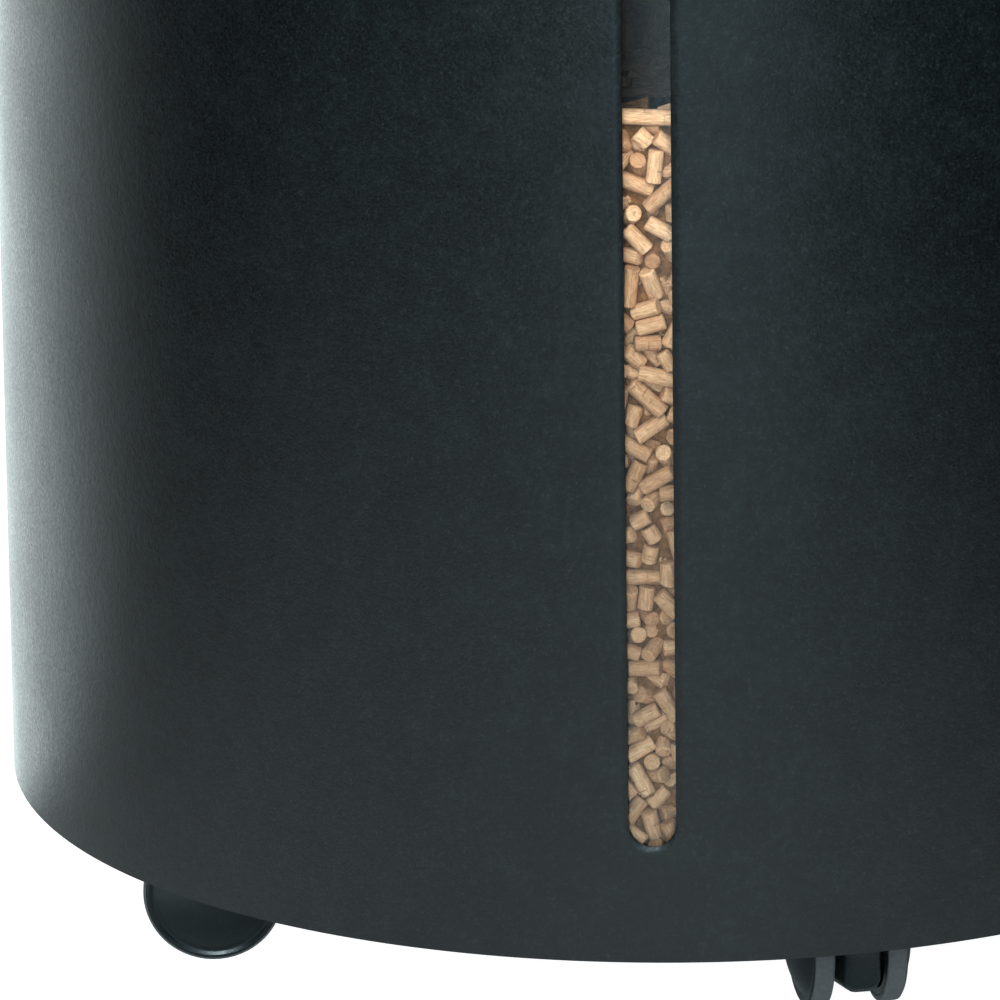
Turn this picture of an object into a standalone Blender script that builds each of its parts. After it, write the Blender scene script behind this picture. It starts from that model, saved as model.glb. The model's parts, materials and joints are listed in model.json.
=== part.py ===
"""Rolling pellet bin: a sheet-steel drum with a sight window, a lift-off lid and four twin-wheel castors.

Metres, +Z up. The origin is on the floor under the middle of the drum, and the sight window faces -Y.
"""

from math import cos, pi, radians, sin

import bmesh
import bpy
from mathutils import Matrix

# Driving dimensions.
DRUM_RADIUS = 0.240
DRUM_BOTTOM = 0.054
DRUM_HEIGHT = 0.500
SHEET = 0.0015
GAP = 0.0003
CUT_OVERRUN = 0.010
WHEEL_RADIUS = 0.025
CASTOR_PITCH_RADIUS = 0.159
CASTOR_TRAIL = 0.020

DRUM_TOP = DRUM_BOTTOM + DRUM_HEIGHT
DRUM_BORE = DRUM_RADIUS - SHEET
DRUM_STEPS = 72

HEM_DEPTH = 0.012

SLOT_WIDTH = 0.0162
SLOT_END_DISTANCE = 0.0415
SLOT_BOTTOM = DRUM_BOTTOM + SLOT_END_DISTANCE
SLOT_TOP = DRUM_TOP - SLOT_END_DISTANCE
SLOT_END_SEGMENTS = 10

PAN_THICKNESS = 0.002
PAN_UNDERSIDE = DRUM_BOTTOM + 0.006
PAN_TOP = PAN_UNDERSIDE + PAN_THICKNESS
PAN_FLANGE_HEIGHT = 0.014
PAN_RADIUS = DRUM_BORE - GAP
PAN_STEP = 0.002
PAN_STEP_RADIUS = 0.100
STEM_HOLE_SIDES = 16

STRIP_WIDTH = 0.036
STRIP_THICKNESS = 0.002
STRIP_RADIUS = DRUM_BORE - GAP
STRIP_BOTTOM = SLOT_BOTTOM - 0.012
STRIP_TOP = SLOT_TOP + 0.012
CHANNEL_WIDTH = 0.011
CHANNEL_LIP = 0.006
CHANNEL_THICKNESS = 0.0015
STOP_HEIGHT = 0.003
STOP_SEGMENTS = 6

FILL_RADIUS = 0.2334
FILL_LEVEL = DRUM_BOTTOM + 0.304
FILL_BRINK = 0.004
FILL_HOLLOW_RADIUS = 0.105
FILL_HOLLOW_DEPTH = 0.068
FILL_STEPS = 48
FILL_POCKET_RADIUS = 0.014
FILL_POCKET_SIDES = 12

LID_CLEARANCE = 0.0010
LID_SHEET = 0.0015
LID_SKIRT = 0.020
LID_EDGE_RADIUS = 0.003
SEAL_THICKNESS = 0.003
SEAL_WIDTH = 0.010
SEAL_BOTTOM = DRUM_TOP + GAP
LID_UNDERSIDE = SEAL_BOTTOM + SEAL_THICKNESS + GAP
LID_TOP = LID_UNDERSIDE + LID_SHEET
LID_PAD_RADIUS = 0.024
LID_PAD_HEIGHT = 0.001
LID_HOLE_RADIUS = 0.0034
SEAL_RADIUS = DRUM_RADIUS - 0.0005

KNOB_RADIUS = 0.0175
KNOB_HEIGHT = 0.028
KNOB_NECK_RADIUS = 0.0085
KNOB_CROWN_RADIUS = 0.004
KNOB_GRIP_DEPTH = 0.011
KNOB_TAPER_DEPTH = 0.017
KNOB_FOOT_FLARE = 0.003
KNOB_BORE_DEPTH = 0.014
KNOB_STEPS = 24
KNOB_SCREW_RADIUS = 0.003
KNOB_SCREW_LENGTH = 0.016
KNOB_SCREW_STEPS = 12
SCREW_HEAD_RADIUS = 0.0055
SCREW_HEAD_HEIGHT = 0.0038
SCREW_HEAD_ROUNDING = 0.0008
KNOB_WASHER_RADIUS = 0.009
KNOB_WASHER_THICKNESS = 0.0012
KNOB_WASHER_STEPS = 16

WHEEL_SIDES = 24
WHEEL_INNER_FACE = 0.0095
TREAD_WIDTH = 0.0068
TREAD_THICKNESS = 0.0022
DOME_DEPTH = 0.0052
DOME_SHAPE = ((0.0, 1.0), (0.45, 0.80), (0.80, 0.32))
WHEEL_SHELL = 0.0026
TREAD_CHAMFER = 0.0008
HUB_RADIUS = 0.006
AXLE_RADIUS = 0.0025
AXLE_CLEARANCE = 0.0003
AXLE_HALF_LENGTH = 0.0185
AXLE_STEPS = 12
HOUSING_HALF_WIDTH = 0.00735
HOUSING_BACK = -0.0085
HOUSING_CORNER = 0.0042
HOUSING_BOTTOM = 0.0115
HOUSING_BOTTOM_CUT = 0.0035
WEB_RADIUS = 0.018
WEB_UPPER_START = radians(112)
WEB_LOWER_START = radians(-15)
WEB_LOWER_END = radians(-105)
HOUSING_TOP = PAN_UNDERSIDE - 0.0023
HOOD_CLEARANCE = 0.0014
HOOD_THICKNESS = 0.0018
HOOD_HALF_WIDTH = 0.0205
HOOD_FROM = radians(30)
HOOD_TO = radians(146)
COLLAR_RADIUS = 0.011
COLLAR_BOTTOM = 0.049
STEM_RADIUS = 0.005
STEM_BOTTOM = 0.042
COLLAR_STEPS = 20
STEM_FLANGE_RADIUS = 0.0095
STEM_FLANGE_BOTTOM = HOUSING_TOP + GAP
STEM_FLANGE_TOP = PAN_UNDERSIDE - GAP
WASHER_RADIUS = 0.0105
WASHER_THICKNESS = 0.002
WASHER_BOTTOM = PAN_TOP + GAP
NUT_ACROSS_FLATS = 0.017
NUT_HEIGHT = 0.008
NUT_BOTTOM = WASHER_BOTTOM + WASHER_THICKNESS + GAP
STEM_TIP = 0.0025
STEM_TOP = NUT_BOTTOM + NUT_HEIGHT + STEM_TIP
STEM_HOLE_RADIUS = STEM_RADIUS + 0.0004
STEM_STEPS = 12
FILL_POCKET_TOP = STEM_TOP + 0.002

# Each castor: name, bearing of its stem round the drum, and heading of its wheels from the stem.
CASTORS = (
    ("front", radians(-64.6), radians(104)),
    ("left", radians(-154.6), radians(184)),
    ("rear", radians(115.4), radians(35)),
    ("right", radians(25.4), radians(-62)),
)

# Colour (linear RGB), roughness and metallic value of each material.
FINISHES = {
    "powder_coat": ((0.028, 0.034, 0.036), 0.55, 0.0),
    "zinc_steel": ((0.55, 0.56, 0.58), 0.35, 1.0),
    "clear_strip": ((0.80, 0.84, 0.84), 0.08, 0.0),
    "wood_pellets": ((0.55, 0.36, 0.19), 0.80, 0.0),
    "black_nylon": ((0.022, 0.025, 0.028), 0.42, 0.0),
    "grey_tread": ((0.075, 0.080, 0.090), 0.60, 0.0),
    "foam_rubber": ((0.015, 0.015, 0.015), 0.90, 0.0),
    "satin_steel": ((0.60, 0.60, 0.60), 0.30, 1.0),
}


def clear_scene():
    for obj in list(bpy.data.objects):
        bpy.data.objects.remove(obj, do_unlink=True)


def new_collection(name):
    collection = bpy.data.collections.new(name)
    bpy.context.scene.collection.children.link(collection)
    return collection


def make_material(name):
    colour, roughness, metallic = FINISHES[name]
    material = bpy.data.materials.new(name)
    material.use_nodes = True
    shader = material.node_tree.nodes["Principled BSDF"]
    shader.inputs["Base Color"].default_value = (*colour, 1.0)
    shader.inputs["Roughness"].default_value = roughness
    shader.inputs["Metallic"].default_value = metallic
    return material


def place(obj, finish, matrix=None, parent=None):
    """Link a finished sub-part, give it its material and its place."""
    PARTS.objects.link(obj)
    obj.data.materials.clear()
    obj.data.materials.append(MATERIALS[finish])
    if parent:
        obj.parent = parent
    if matrix:
        obj.matrix_local = matrix
    return obj


def smooth(obj, angle=35):
    obj.data.shade_smooth()
    obj.data.set_sharp_from_angle(angle=radians(angle))


def turned_mesh(name, profile, steps, closed=False, start=0.0):
    """A solid turned about Z from (radius, height) points that run down its outer side."""
    scratch = bpy.data.meshes.new(name + "_profile")
    points = [(r * cos(start), r * sin(start), z) for r, z in profile]
    edges = [(i, i + 1) for i in range(len(points) - 1)]
    if closed:
        edges.append((len(points) - 1, 0))
    scratch.from_pydata(points, edges, [])
    guide = bpy.data.objects.new(name + "_guide", scratch)
    CUTTERS.objects.link(guide)
    screw = guide.modifiers.new("turn", "SCREW")
    screw.steps = steps
    screw.render_steps = steps
    screw.use_merge_vertices = True
    screw.merge_threshold = 0.00001
    screw.use_smooth_shade = False
    return baked_mesh(guide, name)


def baked_mesh(obj, name):
    """The evaluated mesh of a guide object, which is then removed."""
    graph = bpy.context.evaluated_depsgraph_get()
    mesh = bpy.data.meshes.new_from_object(obj.evaluated_get(graph))
    mesh.transform(obj.matrix_world)
    mesh.name = name
    body = bmesh.new()
    body.from_mesh(mesh)
    bmesh.ops.remove_doubles(body, verts=body.verts, dist=0.000001)
    body.to_mesh(mesh)
    body.free()
    bpy.data.objects.remove(obj, do_unlink=True)
    return mesh


def outline_mesh(name, points, thickness):
    """A flat outline in XY, extruded to half the thickness each way along Z."""
    curve = bpy.data.curves.new(name + "_outline", "CURVE")
    curve.dimensions = "2D"
    curve.fill_mode = "BOTH"
    curve.extrude = thickness / 2
    spline = curve.splines.new("POLY")
    spline.points.add(len(points) - 1)
    for point, (x, y) in zip(spline.points, points):
        point.co = (x, y, 0, 1)
    spline.use_cyclic_u = True
    guide = bpy.data.objects.new(name + "_guide", curve)
    CUTTERS.objects.link(guide)
    bpy.context.view_layer.update()
    return baked_mesh(guide, name)


def cylinder_mesh(name, radius, bottom, top, sides, centre=(0, 0)):
    mesh = bpy.data.meshes.new(name)
    body = bmesh.new()
    middle = Matrix.Translation((*centre, (bottom + top) / 2))
    bmesh.ops.create_cone(
        body, cap_ends=True, segments=sides, radius1=radius, radius2=radius, depth=top - bottom, matrix=middle
    )
    body.to_mesh(mesh)
    body.free()
    return mesh


def cutter(mesh, matrix=None):
    obj = bpy.data.objects.new(mesh.name, mesh)
    CUTTERS.objects.link(obj)
    obj.hide_render = True
    obj.display_type = "WIRE"
    if matrix:
        obj.matrix_world = matrix
    return obj


def combine(obj, other, operation="DIFFERENCE"):
    """Cut or join with a hidden helper object, and keep the modifier."""
    step = obj.modifiers.new(operation.lower(), "BOOLEAN")
    step.operation = operation
    step.object = other
    step.solver = "EXACT"


def arc(centre, radius, start, end, segments):
    cx, cy = centre
    turns = [start + (end - start) * i / segments for i in range(segments + 1)]
    return [(cx + radius * cos(a), cy + radius * sin(a)) for a in turns]


def window_point(across, radius):
    """A point at this arc distance to +X from the window's middle, on this radius."""
    angle = -pi / 2 + across / DRUM_RADIUS
    return (radius * cos(angle), radius * sin(angle))


def window_band(left, right, outer, inner, segments=4):
    """The plan outline of a strip that follows the drum's curve."""
    spans = [left + (right - left) * i / segments for i in range(segments + 1)]
    return [window_point(s, outer) for s in spans] + [window_point(s, inner) for s in reversed(spans)]


def upright(mesh, bottom, top):
    """Lift a mesh extruded about z = 0 so that it spans these heights."""
    mesh.transform(Matrix.Translation((0, 0, (bottom + top) / 2)))
    return mesh


def add_body_shell():
    hem = DRUM_BORE - SHEET
    profile = [
        (DRUM_RADIUS, DRUM_TOP),
        (DRUM_RADIUS, DRUM_BOTTOM),
        (DRUM_BORE, DRUM_BOTTOM),
        (DRUM_BORE, DRUM_TOP - HEM_DEPTH),
        (hem, DRUM_TOP - HEM_DEPTH),
        (hem, DRUM_TOP),
    ]
    shell = bpy.data.objects.new("body_shell", turned_mesh("body_shell", profile, DRUM_STEPS, closed=True))
    place(shell, "powder_coat")
    half = SLOT_WIDTH / 2
    lower = arc((0, SLOT_BOTTOM + half), half, -pi, 0, SLOT_END_SEGMENTS)
    upper = arc((0, SLOT_TOP - half), half, 0, pi, SLOT_END_SEGMENTS)
    slot = outline_mesh("slot_cutter", lower + upper, 0.02)
    facing = Matrix.Translation((0, -DRUM_RADIUS, 0)) @ Matrix.Rotation(pi / 2, 4, "X")
    combine(shell, cutter(slot, facing))
    smooth(shell)


def add_base_pan():
    flange_top = PAN_TOP + PAN_FLANGE_HEIGHT
    step_end = PAN_STEP_RADIUS + PAN_STEP
    profile = [
        (0, PAN_TOP - PAN_STEP),
        (PAN_STEP_RADIUS, PAN_TOP - PAN_STEP),
        (step_end, PAN_TOP),
        (PAN_RADIUS - SHEET, PAN_TOP),
        (PAN_RADIUS - SHEET, flange_top),
        (PAN_RADIUS, flange_top),
        (PAN_RADIUS, PAN_UNDERSIDE),
        (step_end, PAN_UNDERSIDE),
        (PAN_STEP_RADIUS, PAN_UNDERSIDE - PAN_STEP),
        (0, PAN_UNDERSIDE - PAN_STEP),
    ]
    mesh = turned_mesh("base_pan", profile, DRUM_STEPS)
    pan = place(bpy.data.objects.new("base_pan", mesh), "powder_coat")
    bottom, top = PAN_UNDERSIDE - CUT_OVERRUN, PAN_TOP + CUT_OVERRUN
    for name, bearing, _ in CASTORS:
        centre = (CASTOR_PITCH_RADIUS * cos(bearing), CASTOR_PITCH_RADIUS * sin(bearing))
        hole = cylinder_mesh(name + "_stem_hole", STEM_HOLE_RADIUS, bottom, top, STEM_HOLE_SIDES, centre)
        combine(pan, cutter(hole))
    smooth(pan)


def add_window():
    """The clear strip behind the slot, the two channels it slides in, and the stop under it."""
    half = STRIP_WIDTH / 2
    inner = STRIP_RADIUS - STRIP_THICKNESS
    height = STRIP_TOP - STRIP_BOTTOM
    strip = outline_mesh("window_strip", window_band(-half, half, STRIP_RADIUS, inner), height)
    upright(strip, STRIP_BOTTOM, STRIP_TOP)
    smooth(place(bpy.data.objects.new("window_strip", strip), "clear_strip"))
    for name, side in (("window_channel_left", -1), ("window_channel_right", 1)):
        edge = half + GAP
        lip_outer = inner - GAP
        lip_inner = lip_outer - CHANNEL_THICKNESS
        outline = [
            window_point(side * edge, STRIP_RADIUS),
            window_point(side * (edge + CHANNEL_WIDTH), STRIP_RADIUS),
            window_point(side * (edge + CHANNEL_WIDTH), STRIP_RADIUS - CHANNEL_THICKNESS),
            window_point(side * (edge + CHANNEL_THICKNESS), STRIP_RADIUS - CHANNEL_THICKNESS),
            window_point(side * (edge + CHANNEL_THICKNESS), lip_inner),
            window_point(side * (edge - CHANNEL_LIP), lip_inner),
            window_point(side * (edge - CHANNEL_LIP), lip_outer),
            window_point(side * edge, lip_outer),
        ]
        channel = outline_mesh(name, outline, height)
        place(bpy.data.objects.new(name, upright(channel, STRIP_BOTTOM, STRIP_TOP)), "zinc_steel")
    reach = half + CHANNEL_WIDTH
    band = window_band(-reach, reach, STRIP_RADIUS, inner, STOP_SEGMENTS)
    stop = outline_mesh("window_stop", band, STOP_HEIGHT)
    upright(stop, STRIP_BOTTOM - GAP - STOP_HEIGHT, STRIP_BOTTOM - GAP)
    place(bpy.data.objects.new("window_stop", stop), "zinc_steel")


def add_pellet_fill():
    """The pellets as one solid, scooped hollow from above, with pockets round the castor nuts."""
    floor = PAN_TOP + GAP
    hollow = FILL_LEVEL - FILL_HOLLOW_DEPTH
    profile = [
        (0, hollow),
        (FILL_HOLLOW_RADIUS, hollow),
        (FILL_RADIUS - FILL_BRINK, FILL_LEVEL),
        (FILL_RADIUS, FILL_LEVEL),
        (FILL_RADIUS, floor),
        (PAN_STEP_RADIUS + PAN_STEP - GAP, floor),
        (PAN_STEP_RADIUS - GAP, floor - PAN_STEP),
        (0, floor - PAN_STEP),
    ]
    mesh = turned_mesh("pellet_fill", profile, FILL_STEPS)
    fill = place(bpy.data.objects.new("pellet_fill", mesh), "wood_pellets")
    for name, bearing, _ in CASTORS:
        centre = (CASTOR_PITCH_RADIUS * cos(bearing), CASTOR_PITCH_RADIUS * sin(bearing))
        bottom, top = floor - CUT_OVERRUN, FILL_POCKET_TOP
        pocket = cylinder_mesh(name + "_pocket", FILL_POCKET_RADIUS, bottom, top, FILL_POCKET_SIDES, centre)
        combine(fill, cutter(pocket))
    smooth(fill)


def add_lid():
    """The lid's panel and rim with the seal and the knob, all under one empty on the drum's axis."""
    lift = bpy.data.objects.new("lid_lift_axis", None)
    PARTS.objects.link(lift)
    outer = DRUM_RADIUS + LID_CLEARANCE + LID_SHEET
    inner = outer - LID_SHEET
    crest = outer - LID_EDGE_RADIUS
    centre = (crest, LID_TOP - LID_EDGE_RADIUS)
    rim_profile = [
        *arc(centre, LID_EDGE_RADIUS, pi / 2, 0, 4),
        (outer, LID_TOP - LID_SKIRT),
        (inner, LID_TOP - LID_SKIRT),
        *arc(centre, LID_EDGE_RADIUS - LID_SHEET, 0, pi / 2, 4),
    ]
    rim = bpy.data.objects.new("lid_rim", turned_mesh("lid_rim", rim_profile, DRUM_STEPS, closed=True))
    smooth(place(rim, "powder_coat", parent=lift))

    pad_end = LID_PAD_RADIUS + LID_PAD_HEIGHT
    panel_profile = [
        (LID_HOLE_RADIUS, LID_TOP + LID_PAD_HEIGHT),
        (LID_PAD_RADIUS, LID_TOP + LID_PAD_HEIGHT),
        (pad_end, LID_TOP),
        (crest - GAP, LID_TOP),
        (crest - GAP, LID_UNDERSIDE),
        (pad_end, LID_UNDERSIDE),
        (LID_PAD_RADIUS, LID_UNDERSIDE + LID_PAD_HEIGHT),
        (LID_HOLE_RADIUS, LID_UNDERSIDE + LID_PAD_HEIGHT),
    ]
    panel = turned_mesh("lid_panel", panel_profile, DRUM_STEPS, closed=True)
    smooth(place(bpy.data.objects.new("lid_panel", panel), "powder_coat", parent=lift))

    seal_inner, seal_top = SEAL_RADIUS - SEAL_WIDTH, SEAL_BOTTOM + SEAL_THICKNESS
    seal = ring_mesh("lid_seal", seal_inner, SEAL_RADIUS, SEAL_BOTTOM, seal_top, DRUM_STEPS)
    smooth(place(bpy.data.objects.new("lid_seal", seal), "foam_rubber", parent=lift))

    foot = LID_TOP + LID_PAD_HEIGHT + GAP
    top = foot + KNOB_HEIGHT
    bore = KNOB_SCREW_RADIUS + GAP
    crown = (KNOB_RADIUS - KNOB_CROWN_RADIUS, top - KNOB_CROWN_RADIUS)
    knob_profile = [
        (0, top),
        *arc(crown, KNOB_CROWN_RADIUS, pi / 2, 0, 3),
        (KNOB_RADIUS, top - KNOB_GRIP_DEPTH),
        (KNOB_NECK_RADIUS, top - KNOB_TAPER_DEPTH),
        (KNOB_NECK_RADIUS, foot + KNOB_FOOT_FLARE),
        (KNOB_NECK_RADIUS + KNOB_FOOT_FLARE, foot),
        (bore, foot),
        (bore, foot + KNOB_BORE_DEPTH),
        (0, foot + KNOB_BORE_DEPTH),
    ]
    knob = bpy.data.objects.new("lid_knob", turned_mesh("lid_knob", knob_profile, KNOB_STEPS))
    smooth(place(knob, "satin_steel", parent=lift))

    washer_top = LID_UNDERSIDE + LID_PAD_HEIGHT - GAP
    washer_bottom = washer_top - KNOB_WASHER_THICKNESS
    washer = ring_mesh("knob_washer", bore, KNOB_WASHER_RADIUS, washer_bottom, washer_top, KNOB_WASHER_STEPS)
    smooth(place(bpy.data.objects.new("knob_washer", washer), "zinc_steel", parent=lift))

    head_top = washer_bottom - GAP
    head_bottom = head_top - SCREW_HEAD_HEIGHT
    screw_profile = [
        (0, head_top + KNOB_SCREW_LENGTH),
        (KNOB_SCREW_RADIUS, head_top + KNOB_SCREW_LENGTH),
        (KNOB_SCREW_RADIUS, head_top),
        (SCREW_HEAD_RADIUS, head_top),
        (SCREW_HEAD_RADIUS - SCREW_HEAD_ROUNDING, head_bottom + SCREW_HEAD_ROUNDING),
        (0, head_bottom),
    ]
    screw = bpy.data.objects.new("knob_screw", turned_mesh("knob_screw", screw_profile, KNOB_SCREW_STEPS))
    smooth(place(screw, "zinc_steel", parent=lift))


def ring_mesh(name, inner, outer, bottom, top, steps):
    profile = [(outer, top), (outer, bottom), (inner, bottom), (inner, top)]
    return turned_mesh(name, profile, steps, closed=True)


def wheel_meshes():
    """One wheel core and one tread ring, turned about Z with the domed face up and flat sides facing -Y."""
    flat = 1 / cos(pi / WHEEL_SIDES)
    half_side = pi / WHEEL_SIDES
    face = WHEEL_INNER_FACE
    shoulder = face + TREAD_WIDTH
    apex = shoulder + DOME_DEPTH
    core_rim = (WHEEL_RADIUS - TREAD_THICKNESS) * flat
    seat = core_rim - GAP * flat
    shell_bore = seat - WHEEL_SHELL
    core_profile = [
        *((r * WHEEL_RADIUS, shoulder + depth * DOME_DEPTH) for r, depth in DOME_SHAPE),
        (seat, shoulder),
        (seat, face),
        (shell_bore, face),
        (shell_bore, shoulder - WHEEL_SHELL / 2),
        (HUB_RADIUS, apex - DOME_DEPTH + WHEEL_SHELL / 2),
        (HUB_RADIUS, face),
        (AXLE_RADIUS + AXLE_CLEARANCE, face),
        (AXLE_RADIUS + AXLE_CLEARANCE, AXLE_HALF_LENGTH + AXLE_CLEARANCE),
        (0, AXLE_HALF_LENGTH + AXLE_CLEARANCE),
    ]
    core = turned_mesh("wheel", core_profile, WHEEL_SIDES, start=half_side)
    rim = WHEEL_RADIUS * flat
    tread_profile = [
        (core_rim, shoulder),
        (rim - TREAD_CHAMFER, shoulder),
        (rim, shoulder - TREAD_CHAMFER),
        (rim, face),
        (core_rim, face),
    ]
    tread = turned_mesh("tread", tread_profile, WHEEL_SIDES, closed=True, start=half_side)
    return core, tread


def housing_mesh():
    """The swivelling body: a web between the wheels, a hood over them and a collar for the stem."""
    axle = (CASTOR_TRAIL, WHEEL_RADIUS)
    hood_inner = WHEEL_RADIUS + HOOD_CLEARANCE
    hood_outer = hood_inner + HOOD_THICKNESS
    lower = arc(axle, WEB_RADIUS, WEB_LOWER_START, WEB_LOWER_END, 5)
    upper = arc(axle, hood_inner + HOOD_THICKNESS / 2, WEB_UPPER_START, HOOD_FROM, 6)
    web_outline = [
        (HOUSING_BACK, COLLAR_BOTTOM + HOUSING_CORNER),
        *upper,
        *lower,
        (HOUSING_BACK + HOUSING_BOTTOM_CUT, HOUSING_BOTTOM),
        (HOUSING_BACK, HOUSING_BOTTOM + HOUSING_BOTTOM_CUT),
    ]
    # The web is drawn in XY and stood up, so that its outline lies in the local XZ plane.
    web = outline_mesh("housing_web", list(reversed(web_outline)), 2 * HOUSING_HALF_WIDTH)
    stand = Matrix.Rotation(pi / 2, 4, "X")
    body = bpy.data.objects.new("housing_work", web)
    CUTTERS.objects.link(body)
    body.matrix_world = stand
    bevel = body.modifiers.new("edges", "BEVEL")
    bevel.width = HOUSING_CORNER
    bevel.segments = 1
    bevel.limit_method = "ANGLE"
    bevel.angle_limit = radians(60)
    band = arc(axle, hood_outer, HOOD_FROM, HOOD_TO, 9) + arc(axle, hood_inner, HOOD_TO, HOOD_FROM, 9)
    hood = outline_mesh("housing_hood", band, 2 * HOOD_HALF_WIDTH)
    combine(body, cutter(hood, stand), "UNION")
    collar = cylinder_mesh("housing_collar", COLLAR_RADIUS, COLLAR_BOTTOM, HOUSING_TOP, COLLAR_STEPS)
    combine(body, cutter(collar), "UNION")
    bore_top = HOUSING_TOP + CUT_OVERRUN
    stem_bore = cylinder_mesh("stem_bore", STEM_RADIUS + GAP, STEM_BOTTOM - GAP, bore_top, STEM_STEPS)
    combine(body, cutter(stem_bore))
    reach = HOOD_HALF_WIDTH + CUT_OVERRUN
    axle_bore = cylinder_mesh("axle_bore", AXLE_RADIUS + GAP, -reach, reach, AXLE_STEPS)
    across = Matrix.Translation((CASTOR_TRAIL, 0, WHEEL_RADIUS)) @ stand
    combine(body, cutter(axle_bore, across))
    bpy.context.view_layer.update()
    return baked_mesh(body, "castor_housing")


def stem_mesh():
    profile = [
        (0, STEM_TOP),
        (STEM_RADIUS, STEM_TOP),
        (STEM_RADIUS, STEM_FLANGE_TOP),
        (STEM_FLANGE_RADIUS, STEM_FLANGE_TOP),
        (STEM_FLANGE_RADIUS, STEM_FLANGE_BOTTOM),
        (STEM_RADIUS, STEM_FLANGE_BOTTOM),
        (STEM_RADIUS, STEM_BOTTOM),
        (0, STEM_BOTTOM),
    ]
    return turned_mesh("castor_stem", profile, STEM_STEPS)


def nut_mesh():
    corner = NUT_ACROSS_FLATS / 2 / cos(pi / 6)
    hexagon = [(corner * cos(i * pi / 3), corner * sin(i * pi / 3)) for i in range(6)]
    top = NUT_BOTTOM + NUT_HEIGHT
    nut = upright(outline_mesh("castor_nut", hexagon, NUT_HEIGHT), NUT_BOTTOM, top)
    work = bpy.data.objects.new("nut_work", nut)
    CUTTERS.objects.link(work)
    bottom = NUT_BOTTOM - CUT_OVERRUN
    bore = cylinder_mesh("nut_bore", STEM_RADIUS + GAP, bottom, top + CUT_OVERRUN, STEM_STEPS)
    combine(work, cutter(bore))
    bpy.context.view_layer.update()
    return baked_mesh(work, "castor_nut")


def add_castors():
    core, tread = wheel_meshes()
    housing = housing_mesh()
    stem = stem_mesh()
    nut = nut_mesh()
    washer_top = WASHER_BOTTOM + WASHER_THICKNESS
    bore = STEM_RADIUS + GAP
    washer = ring_mesh("castor_washer", bore, WASHER_RADIUS, WASHER_BOTTOM, washer_top, STEM_STEPS)
    axle = cylinder_mesh("castor_axle", AXLE_RADIUS, -AXLE_HALF_LENGTH, AXLE_HALF_LENGTH, AXLE_STEPS)
    for shape in (core, tread, housing, stem, nut, washer, axle):
        shape.shade_smooth()
        shape.set_sharp_from_angle(angle=radians(35))
    for name, bearing, heading in CASTORS:
        prefix = name + "_castor_"
        swivel = bpy.data.objects.new(prefix + "swivel_axis", None)
        PARTS.objects.link(swivel)
        swivel.location = (CASTOR_PITCH_RADIUS * cos(bearing), CASTOR_PITCH_RADIUS * sin(bearing), 0)
        swivel.rotation_euler = (0, 0, heading)
        # The stem, washer and nut are clamped to the pan, so they stand on the same axis but don't swivel.
        place(bpy.data.objects.new(prefix + "stem", stem), "zinc_steel", parent=swivel)
        place(bpy.data.objects.new(prefix + "washer", washer), "zinc_steel", parent=swivel)
        place(bpy.data.objects.new(prefix + "nut", nut), "zinc_steel", parent=swivel)
        place(bpy.data.objects.new(prefix + "housing", housing), "black_nylon", parent=swivel)
        at_axle = Matrix.Translation((CASTOR_TRAIL, 0, WHEEL_RADIUS))
        to_left = at_axle @ Matrix.Rotation(-pi / 2, 4, "X")
        to_right = at_axle @ Matrix.Rotation(pi / 2, 4, "X")
        place(bpy.data.objects.new(prefix + "axle", axle), "zinc_steel", to_left, swivel)
        for side, turn in (("left", to_left), ("right", to_right)):
            place(bpy.data.objects.new(f"{prefix}wheel_{side}", core), "black_nylon", turn, swivel)
            place(bpy.data.objects.new(f"{prefix}tread_{side}", tread), "grey_tread", turn, swivel)


clear_scene()
PARTS = new_collection("rolling_pellet_bin")
CUTTERS = new_collection("cutters")
MATERIALS = {name: make_material(name) for name in FINISHES}
add_body_shell()
add_base_pan()
add_window()
add_pellet_fill()
add_lid()
add_castors()
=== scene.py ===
"""The looks of the rolling pellet bin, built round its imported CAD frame.

Metres, in the row frame: +Z up, the origin on the floor under the drum's middle, the window facing -Y.
"""

import json
import math
from math import cos, pi, radians, sin

import bmesh
import bpy
import numpy as np
from mathutils import Matrix, Vector


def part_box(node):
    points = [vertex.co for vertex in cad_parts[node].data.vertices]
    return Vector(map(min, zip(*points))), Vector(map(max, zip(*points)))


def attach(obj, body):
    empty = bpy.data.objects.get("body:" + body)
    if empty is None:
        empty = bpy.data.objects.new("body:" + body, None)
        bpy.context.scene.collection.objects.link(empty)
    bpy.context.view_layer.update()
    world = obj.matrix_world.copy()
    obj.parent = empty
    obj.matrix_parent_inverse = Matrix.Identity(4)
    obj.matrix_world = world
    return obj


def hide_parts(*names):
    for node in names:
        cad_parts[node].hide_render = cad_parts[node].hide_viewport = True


# The sheet-metal work.
SHEET = 0.0015
SLOT_WIDTH = 0.0162
SLOT_END_DISTANCE = 0.0415
SLOT_ROLL_DEPTH = 0.0008
SLOT_ROLL_STEPS = (0.0, 0.0004, 0.0008, 0.0013, 0.0019, 0.0026, 0.0034)
HEM_DEPTH = 0.012
HEM_THICKNESS = 0.0015
HEM_DROP = 0.0014
SEAM_HALF_WIDTH = 0.0021
SEAM_RISE = 0.00028
PAN_THICKNESS = 0.002
PAN_MIDDLE_RADIUS = 0.100
LID_PAD_RADIUS = 0.024
LID_HOLE_RADIUS = 0.0034
STRIP_THICKNESS = 0.002

# How finely round things are cut.
SLOT_END_STEPS = 14
DRUM_COLUMNS = 240
DRUM_COLUMN_GAP = 0.008
DRUM_ROWS_BESIDE_SLOT = 60
DRUM_ROWS_PAST_SLOT = 6
LATHE_STEPS = 240
WHEEL_STEPS = 96
SMALL_STEPS = 64

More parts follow.
